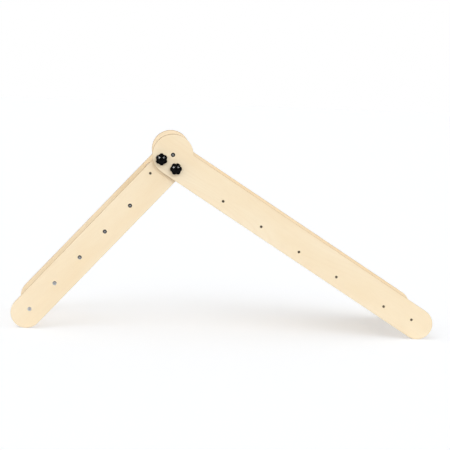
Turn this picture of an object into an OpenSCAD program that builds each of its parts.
// Folding climbing triangle for small children, all in millimetres.
// A short rung ladder and a long slide share one pivot at the head. Star knobs clamp
// the two legs at the angle at which they stand, with both round feet on the floor.
// The front is the side towards -Y. The origin is on the floor, below the middle.

/* [Stance] */
// Width over the slide's two side panels
overall_w = 440; // [340:5:600]
// Angle between the ladder and the floor
ladder_angle = 47.8; // [42:0.1:54]

/* [Side panels] */
// Thickness of the plywood side panels
panel_t = 18; // [16:1:24]
// Width of each leg's side panels, twice the radius of their round feet
leg_w = 106; // [96:1:126]
// Radius of the head disc, centred on the pivot and tangent to the leg's inner edge
head_r = 69; // [66:1:78]
// From the pivot to the centre of the ladder's round foot, along the leg
ladder_len = 728; // [700:1:820]
// From the pivot to the centre of the slide's round foot, along the leg
slide_len = 1016; // [960:1:1200]
// Thickness of the spacer ring between a ladder panel and a slide panel
spacer_t = 1; // [0.5:0.1:3]

/* [Rungs] */
// Diameter of the rungs
rung_d = 32; // [24:1:36]
// Distance from one ladder rung to the next
rung_pitch = 122; // [108:1:126]
// From the lowest rung back to the centre of the round foot, along the leg
rung_foot_gap = 16; // [0:1:30]
// Depth of the round sockets that the rung ends sit in
rung_seat = 5; // [3:1:6]
// Distance of the hand rung from the pivot, along the ladder
hand_rung_along = 98; // [92:1:108]
// Distance of the hand rung's axis from the ladder's outer edge
hand_rung_inset = 26; // [22:1:34]

/* [Slide bed] */
// Thickness of the slide bed
bed_t = 6; // [4:1:9]
// Width of the battens under the bed
batten_w = 45; // [30:1:60]
// Thickness of the battens under the bed
batten_t = 18; // [14:1:20]
// Distance of the batten screws from the leg's inner edge, on the straight part
batten_line = 33; // [28:1:40]
// From the pivot to the first batten, along the leg
first_batten = 227; // [150:1:240]
// Distance from one straight batten to the next
batten_pitch = 155; // [120:1:160]
// From the round foot's centre back to the batten where the run-out bends
bend_batten_gap = 131; // [110:1:140]
// From the round foot's centre back to the lowest batten
last_batten_gap = 25; // [15:1:35]
// From the round foot's centre back to the start of the curved run-out
runout_gap = 250; // [180:1:260]
// Radius of the curved run-out, at the batten screws
runout_r = 1200; // [1000:10:3000]
// How far the bed reaches past the round foot's centre
bed_overrun = 20; // [5:1:35]
// From the edge of the head disc to the upper end of the bed
bed_head_gap = 31; // [10:1:60]

/* [Bolts and screws] */
// Shank diameter of the rung bolts
bolt_d = 8; // [6:0.5:9]
// Head diameter of the rung bolts
bolt_head_d = 14; // [12:0.5:15]
// Head thickness of the rung bolts
bolt_head_t = 3; // [2:0.1:4]
// How deep the bolts and their inserts reach into a rung
rung_insert_len = 22; // [12:1:30]
// Outer diameter of the threaded inserts in the rungs
rung_insert_d = 12; // [11:0.5:14]
// Shank diameter of the pivot bolts
pivot_d = 8; // [7:0.5:9.5]
// Head diameter of the pivot bolts
pivot_head_d = 14; // [13.5:0.5:16]
// Head thickness of the pivot bolts
pivot_head_t = 3.5; // [2.5:0.1:4.5]
// Outer diameter of the bushings and inserts that hold the pivot bolts
pivot_sleeve_d = 12.5; // [12:0.5:13]
// Outer diameter of the spacer rings on the pivot bolts
spacer_d = 30; // [20:1:34]
// Head diameter of the countersunk wood screws
screw_head_d = 9; // [8:0.5:11]
// Shank diameter of the wood screws
screw_d = 5; // [4:0.5:6]
// Length of the wood screws
screw_len = 50; // [40:1:60]
// Width across the flats of the hexagon sockets in the bolts
bolt_hex = 5; // [4:0.5:6]
// Width across the flats of the hexagon sockets in the screws
screw_hex = 3; // [2.5:0.5:3.5]
// Depth of the hexagon sockets
hex_depth = 1.8; // [1:0.1:2]

/* [Star knobs] */
// Diameter of the star knobs over their lobes
knob_d = 40; // [36:1:42]
// Number of lobes on a knob
knob_lobes = 6; // [5:1:8]
// Radius of the hollows between the lobes
knob_hollow_r = 10; // [8:0.5:14]
// Depth of the hollows between the lobes
knob_hollow_depth = 2.6; // [1.8:0.1:3.4]
// Thickness of the knob's star
knob_star_t = 12; // [10:1:16]
// Diameter of the knob's neck
knob_neck_d = 18; // [16:1:20]
// Height of the knob's neck below the star
knob_neck_h = 9; // [6:1:14]
// Diameter of the dome on the knob
knob_dome_d = 27; // [20:1:30]
// Height of the dome on the knob
knob_dome_h = 6; // [4:0.5:8]
// Diameter of the knob's threaded stud
stud_d = 8; // [6:0.5:9]
// How deep the stud is set into the knob
stud_grip = 15; // [10:1:18]
// Outer diameter of the knob's washer
washer_d = 22; // [19:1:28]
// Thickness of the knob's washer
washer_t = 1.6; // [1:0.1:2.5]
// Outer diameter of the threaded inserts in the slide's panels
knob_insert_d = 12; // [11:0.5:14]
// Distance of the knobs from the pivot, towards the slide's inner edge
knob_drop = 33; // [31:1:36]
// Place of the knob nearer the ladder, along the slide from the pivot
knob_1_along = -24.5; // [-30:0.5:-21]
// Place of the knob nearer the slide, along the slide from the pivot
knob_2_along = 33.5; // [28:0.5:40]
// Turn of the knob nearer the ladder, at rest
knob_1_turn = 35; // [0:1:60]
// Turn of the knob nearer the slide, at rest
knob_2_turn = 6; // [0:1:60]

/* [Clearances] */
// Radial clearance of a shaft that turns or is threaded in its hole
running_fit = 0.05; // [0.02:0.01:0.1]
// Clearance round a fixed piece in its hole, recess or socket
fixed_fit = 0.1; // [0.02:0.01:0.2]
// Gap that keeps two pieces apart where one moves past the other
seat_gap = 0.3; // [0.2:0.05:0.5]
// Gap between each side of the bed and the side panel
bed_side_gap = 0.5; // [0.2:0.1:2]

/* [Hidden] */
$fn = 96;
runout_fn = 1440;

rung_count = 5;
straight_battens = 4;
cut = 1;
foot_r = leg_w / 2;
mid_v = foot_r - head_r;
outer_v = leg_w - head_r;

rise = ladder_len * sin(ladder_angle) - mid_v * cos(ladder_angle);
pivot_z = foot_r + rise;
slide_reach = sqrt(slide_len * slide_len + mid_v * mid_v);
slide_angle = asin(rise / slide_reach) - atan2(-mid_v, slide_len);
ladder_end_x = -ladder_len * cos(ladder_angle) - mid_v * sin(ladder_angle) - foot_r;
slide_end_x = slide_len * cos(slide_angle) + mid_v * sin(slide_angle) + foot_r;
pivot_x = -(ladder_end_x + slide_end_x) / 2;

panel_gap = spacer_t + seat_gap;
slide_half_w = overall_w / 2;
bed_space = overall_w - 2 * panel_t;
ladder_half_w = slide_half_w - panel_t - panel_gap;
rung_len = 2 * (ladder_half_w - panel_t + rung_seat);

hand_rung_v = outer_v - hand_rung_inset;
bolt_recess = bolt_head_t + fixed_fit;
pivot_recess = pivot_head_t + 2 * seat_gap;
screw_sink = (screw_head_d - screw_d) / 2;

batten_v = batten_line - head_r;
runout_start = slide_len - runout_gap;
runout_v = batten_v + runout_r;
bed_start = head_r + bed_head_gap;
bed_end_angle = asin((runout_gap + bed_overrun) / runout_r);

knob_h = knob_neck_h + knob_star_t + knob_dome_h;
knob_foot_z = washer_t + 2 * seat_gap;
knob_ball_r = (knob_dome_d * knob_dome_d / 4 + knob_dome_h * knob_dome_h) / (2 * knob_dome_h);

// Distance of rung i from the pivot, along the ladder; rung 1 is the lowest
function rung_along(i) = ladder_len - rung_foot_gap - (i - 1) * rung_pitch;

// Distance of batten i from the pivot, along the slide; batten 1 is the highest
function batten_along(i) = i <= straight_battens ? first_batten + (i - 1) * batten_pitch
    : slide_len - (i == straight_battens + 1 ? bend_batten_gap : last_batten_gap);

// How far the bed has bent up at a distance along the slide
function bend_angle(u) = u > runout_start ? asin((u - runout_start) / runout_r) : 0;

// Height of the batten screws' line at a distance along the slide
function bed_line_v(u) = batten_v + runout_r * (1 - cos(bend_angle(u)));

knob_places = [knob_1_along, knob_2_along];
knob_turns = [knob_1_turn, knob_2_turn];

// Leg frames: x runs down the leg from the pivot, z points away from its inner edge
module slide_leg() {
    translate([pivot_x, 0, pivot_z]) rotate([0, slide_angle, 0]) children();
}

module ladder_leg() {
    translate([pivot_x, 0, pivot_z]) rotate([0, 180 - ladder_angle, 0]) mirror([0, 0, 1]) children();
}

// Stands its children on the outer face of a front panel, with z pointing outwards
module on_face(half_w) {
    translate([0, -half_w, 0]) rotate([90, 0, 0]) children();
}

// Swaps front and back
module to_back() {
    mirror([0, 1, 0]) children();
}

module both_sides() {
    children();
    to_back() children();
}

module ring(outer_d, inner_d, h) {
    difference() {
        cylinder(d = outer_d, h = h);
        translate([0, 0, -cut]) cylinder(d = inner_d, h = h + 2 * cut);
    }
}

module hex_socket(width) {
    translate([0, 0, -hex_depth]) cylinder(d = width / cos(30), h = hex_depth + cut, $fn = 6);
}

// Side panel of one leg, lying with its outer face on z = 0
module panel_blank(length) {
    translate([0, 0, -panel_t]) linear_extrude(panel_t) {
        circle(r = head_r);
        translate([0, -head_r]) square([length, leg_w]);
        translate([length, mid_v]) circle(r = foot_r);
    }
}

// Through hole with a flat recess for a bolt's head
module bolt_hole(shank_d, head_d, recess) {
    translate([0, 0, -panel_t - cut]) cylinder(d = shank_d, h = panel_t + 2 * cut);
    translate([0, 0, -recess]) cylinder(d = head_d, h = recess + cut);
}

// Through hole with a countersink for a wood screw
module screw_hole() {
    wide = screw_head_d + 2 * fixed_fit;
    hole = screw_d + 2 * fixed_fit;
    translate([0, 0, -panel_t - cut]) cylinder(d = hole, h = panel_t + 2 * cut);
    translate([0, 0, -screw_sink]) cylinder(d1 = hole, d2 = wide, h = screw_sink);
}

// Flat-headed bolt that ends up flush with its panel's face
module bolt(shank_d, head_d, head_t, shank_len, sunk) {
    translate([0, 0, -sunk]) difference() {
        union() {
            translate([0, 0, -head_t]) cylinder(d = head_d, h = head_t);
            translate([0, 0, -head_t - shank_len]) cylinder(d = shank_d, h = shank_len + head_t);
        }
        hex_socket(bolt_hex);
    }
}

module wood_screw() {
    difference() {
        union() {
            translate([0, 0, -screw_sink]) cylinder(d1 = screw_d, d2 = screw_head_d, h = screw_sink);
            translate([0, 0, screw_d - screw_len]) cylinder(d = screw_d, h = screw_len - screw_d);
            translate([0, 0, -screw_len]) cylinder(d1 = 0, d2 = screw_d, h = screw_d);
        }
        hex_socket(screw_hex);
    }
}

// ---- slide ----

module slide_side() {
    slide_leg() on_face(slide_half_w) difference() {
        panel_blank(slide_len);
        bolt_hole(pivot_sleeve_d + 2 * fixed_fit, pivot_head_d + 2 * seat_gap, pivot_recess);
        for (u = knob_places)
            translate([u, -knob_drop, 0]) bolt_hole(knob_insert_d + 2 * fixed_fit, knob_insert_d, 0);
        for (i = [1 : straight_battens + 2])
            translate([batten_along(i), bed_line_v(batten_along(i)), 0]) screw_hole();
    }
}

module slide_side_front() { color("burlywood") slide_side(); }

module slide_side_back() { color("burlywood") to_back() slide_side(); }

module slide_bed() {
    below = batten_t / 2;
    color("wheat") slide_leg()
        translate([0, slide_half_w - panel_t - bed_side_gap, 0]) rotate([90, 0, 0])
        linear_extrude(bed_space - 2 * bed_side_gap) {
            translate([bed_start, batten_v + below]) square([runout_start - bed_start, bed_t]);
            translate([runout_start, runout_v]) intersection() {
                difference() {
                    circle(r = runout_r - below, $fn = runout_fn);
                    circle(r = runout_r - below - bed_t, $fn = runout_fn);
                }
                polygon([
                    [0, 0],
                    [0, -2 * runout_r],
                    [2 * runout_r * sin(bed_end_angle), -2 * runout_r * cos(bed_end_angle)]
                ]);
            }
        }
}

module bed_batten(i) {
    u = batten_along(i);
    depth = screw_len - panel_t + 2 * fixed_fit;
    color("tan") slide_leg() translate([u, 0, bed_line_v(u)]) rotate([0, -bend_angle(u), 0]) difference() {
        cube([batten_w, bed_space, batten_t], center = true);
        both_sides() on_face(bed_space / 2)
            translate([0, 0, -depth]) cylinder(d = screw_d + 2 * fixed_fit, h = depth + cut);
    }
}

module batten_screws() {
    color("dimgray") slide_leg() both_sides() on_face(slide_half_w)
        for (i = [1 : straight_battens + 2])
            translate([batten_along(i), bed_line_v(batten_along(i)), 0]) wood_screw();
}

module pivot_bushings() {
    color("silver") slide_leg() both_sides() on_face(slide_half_w) translate([0, 0, -panel_t])
        ring(pivot_sleeve_d, pivot_d + 2 * running_fit, panel_t - pivot_recess);
}

module knob_inserts() {
    color("silver") slide_leg() both_sides() on_face(slide_half_w)
        for (u = knob_places)
            translate([u, -knob_drop, -panel_t]) ring(knob_insert_d, stud_d + 2 * running_fit, panel_t);
}

// ---- ladder ----

module ladder_side() {
    socket_d = rung_d + 2 * fixed_fit;
    ladder_leg() on_face(ladder_half_w) difference() {
        panel_blank(ladder_len);
        translate([0, 0, -panel_t - cut]) cylinder(d = pivot_d + 2 * fixed_fit, h = panel_t + 2 * cut);
        translate([0, 0, -panel_t - cut]) cylinder(d = socket_d, h = rung_seat + cut);
        for (i = [1 : rung_count]) translate([rung_along(i), mid_v, 0]) {
            bolt_hole(bolt_d + 2 * fixed_fit, bolt_head_d + 2 * fixed_fit, bolt_recess);
            translate([0, 0, -panel_t - cut]) cylinder(d = socket_d, h = rung_seat + cut);
        }
        translate([hand_rung_along, hand_rung_v, 0]) {
            screw_hole();
            translate([0, 0, -panel_t - cut]) cylinder(d = socket_d, h = rung_seat + cut);
        }
    }
}

module ladder_side_front() { color("burlywood") ladder_side(); }

module ladder_side_back() { color("burlywood") to_back() ladder_side(); }

// Rung along y, with a blind hole in each end
module rung_blank(hole_d, hole_depth) {
    difference() {
        translate([0, rung_len / 2, 0]) rotate([90, 0, 0]) cylinder(d = rung_d, h = rung_len);
        both_sides() on_face(rung_len / 2)
            translate([0, 0, -hole_depth]) cylinder(d = hole_d, h = hole_depth + cut);
    }
}

module rung(i) {
    color("navajowhite") ladder_leg() translate([rung_along(i), 0, mid_v])
        rung_blank(rung_insert_d + 2 * fixed_fit, rung_insert_len + fixed_fit);
}

module hand_rung() {
    depth = screw_len - panel_t + rung_seat + 2 * fixed_fit;
    color("navajowhite") ladder_leg() translate([hand_rung_along, 0, hand_rung_v])
        rung_blank(screw_d + 2 * fixed_fit, depth);
}

module top_rung() {
    color("navajowhite") ladder_leg()
        rung_blank(pivot_sleeve_d + 2 * fixed_fit, rung_insert_len + fixed_fit);
}

module rung_bolts() {
    reach = panel_t - rung_seat - bolt_recess + rung_insert_len;
    color("gainsboro") ladder_leg() both_sides() on_face(ladder_half_w)
        for (i = [1 : rung_count])
            translate([rung_along(i), mid_v, 0]) bolt(bolt_d, bolt_head_d, bolt_head_t, reach, fixed_fit);
}

module rung_inserts() {
    color("silver") ladder_leg() both_sides() on_face(rung_len / 2)
        for (i = [1 : rung_count])
            translate([rung_along(i), mid_v, -rung_insert_len])
                ring(rung_insert_d, bolt_d + 2 * running_fit, rung_insert_len);
}

module hand_rung_screws() {
    color("dimgray") ladder_leg() both_sides() on_face(ladder_half_w)
        translate([hand_rung_along, hand_rung_v, 0]) wood_screw();
}

module pivot_bolt() {
    reach = slide_half_w - rung_len / 2 + rung_insert_len - pivot_head_t - seat_gap;
    slide_leg() on_face(slide_half_w) bolt(pivot_d, pivot_head_d, pivot_head_t, reach, seat_gap);
}

module pivot_bolt_front() { color("gainsboro") pivot_bolt(); }

module pivot_bolt_back() { color("gainsboro") to_back() pivot_bolt(); }

module pivot_inserts() {
    color("silver") ladder_leg() both_sides() on_face(rung_len / 2)
        translate([0, 0, -rung_insert_len])
            ring(pivot_sleeve_d, pivot_d + 2 * running_fit, rung_insert_len);
}

module pivot_spacers() {
    color("whitesmoke") ladder_leg() both_sides() on_face(ladder_half_w)
        ring(spacer_d, pivot_d + 2 * fixed_fit, spacer_t);
}

// ---- star knobs ----

module at_knob(i) {
    slide_leg() on_face(slide_half_w) translate([knob_places[i - 1], -knob_drop, 0]) children();
}

module star_knob(i) {
    hollow_at = knob_d / 2 - knob_hollow_depth + knob_hollow_r;
    at_knob(i) translate([0, 0, knob_foot_z]) difference() {
        union() {
            cylinder(d = knob_neck_d, h = knob_neck_h + cut);
            translate([0, 0, knob_neck_h]) difference() {
                cylinder(d = knob_d, h = knob_star_t);
                for (k = [0 : knob_lobes - 1])
                    rotate([0, 0, knob_turns[i - 1] + k * 360 / knob_lobes])
                        translate([hollow_at, 0, -cut]) cylinder(r = knob_hollow_r, h = knob_star_t + 2 * cut);
            }
            intersection() {
                translate([0, 0, knob_h - knob_ball_r]) sphere(r = knob_ball_r);
                translate([0, 0, knob_neck_h]) cylinder(d = knob_dome_d, h = knob_h);
            }
        }
        translate([0, 0, -cut]) cylinder(d = stud_d + 2 * running_fit, h = stud_grip + cut);
    }
}

module knob_stud(i) {
    reach = knob_foot_z + stud_grip;
    depth = panel_t + panel_gap - seat_gap;
    at_knob(i) translate([0, 0, -depth]) cylinder(d = stud_d, h = depth + reach);
}

module knob_washer(i) {
    at_knob(i) translate([0, 0, seat_gap]) ring(washer_d, stud_d + 2 * seat_gap, washer_t);
}

module star_knob_front(i) { color([0.05, 0.05, 0.06]) star_knob(i); }

module star_knob_back(i) { color([0.05, 0.05, 0.06]) to_back() star_knob(i); }

module knob_stud_front(i) { color("silver") knob_stud(i); }

module knob_stud_back(i) { color("silver") to_back() knob_stud(i); }

module knob_washer_front(i) { color("gainsboro") knob_washer(i); }

module knob_washer_back(i) { color("gainsboro") to_back() knob_washer(i); }

slide_side_front();
slide_side_back();
slide_bed();
for (i = [1 : straight_battens + 2])
    bed_batten(i);
batten_screws();
pivot_bushings();
knob_inserts();
ladder_side_front();
ladder_side_back();
for (i = [1 : rung_count])
    rung(i);
hand_rung();
top_rung();
rung_bolts();
rung_inserts();
hand_rung_screws();
pivot_bolt_front();
pivot_bolt_back();
pivot_inserts();
pivot_spacers();
for (i = [1 : 2]) {
    star_knob_front(i);
    star_knob_back(i);
    knob_stud_front(i);
    knob_stud_back(i);
    knob_washer_front(i);
    knob_washer_back(i);
}
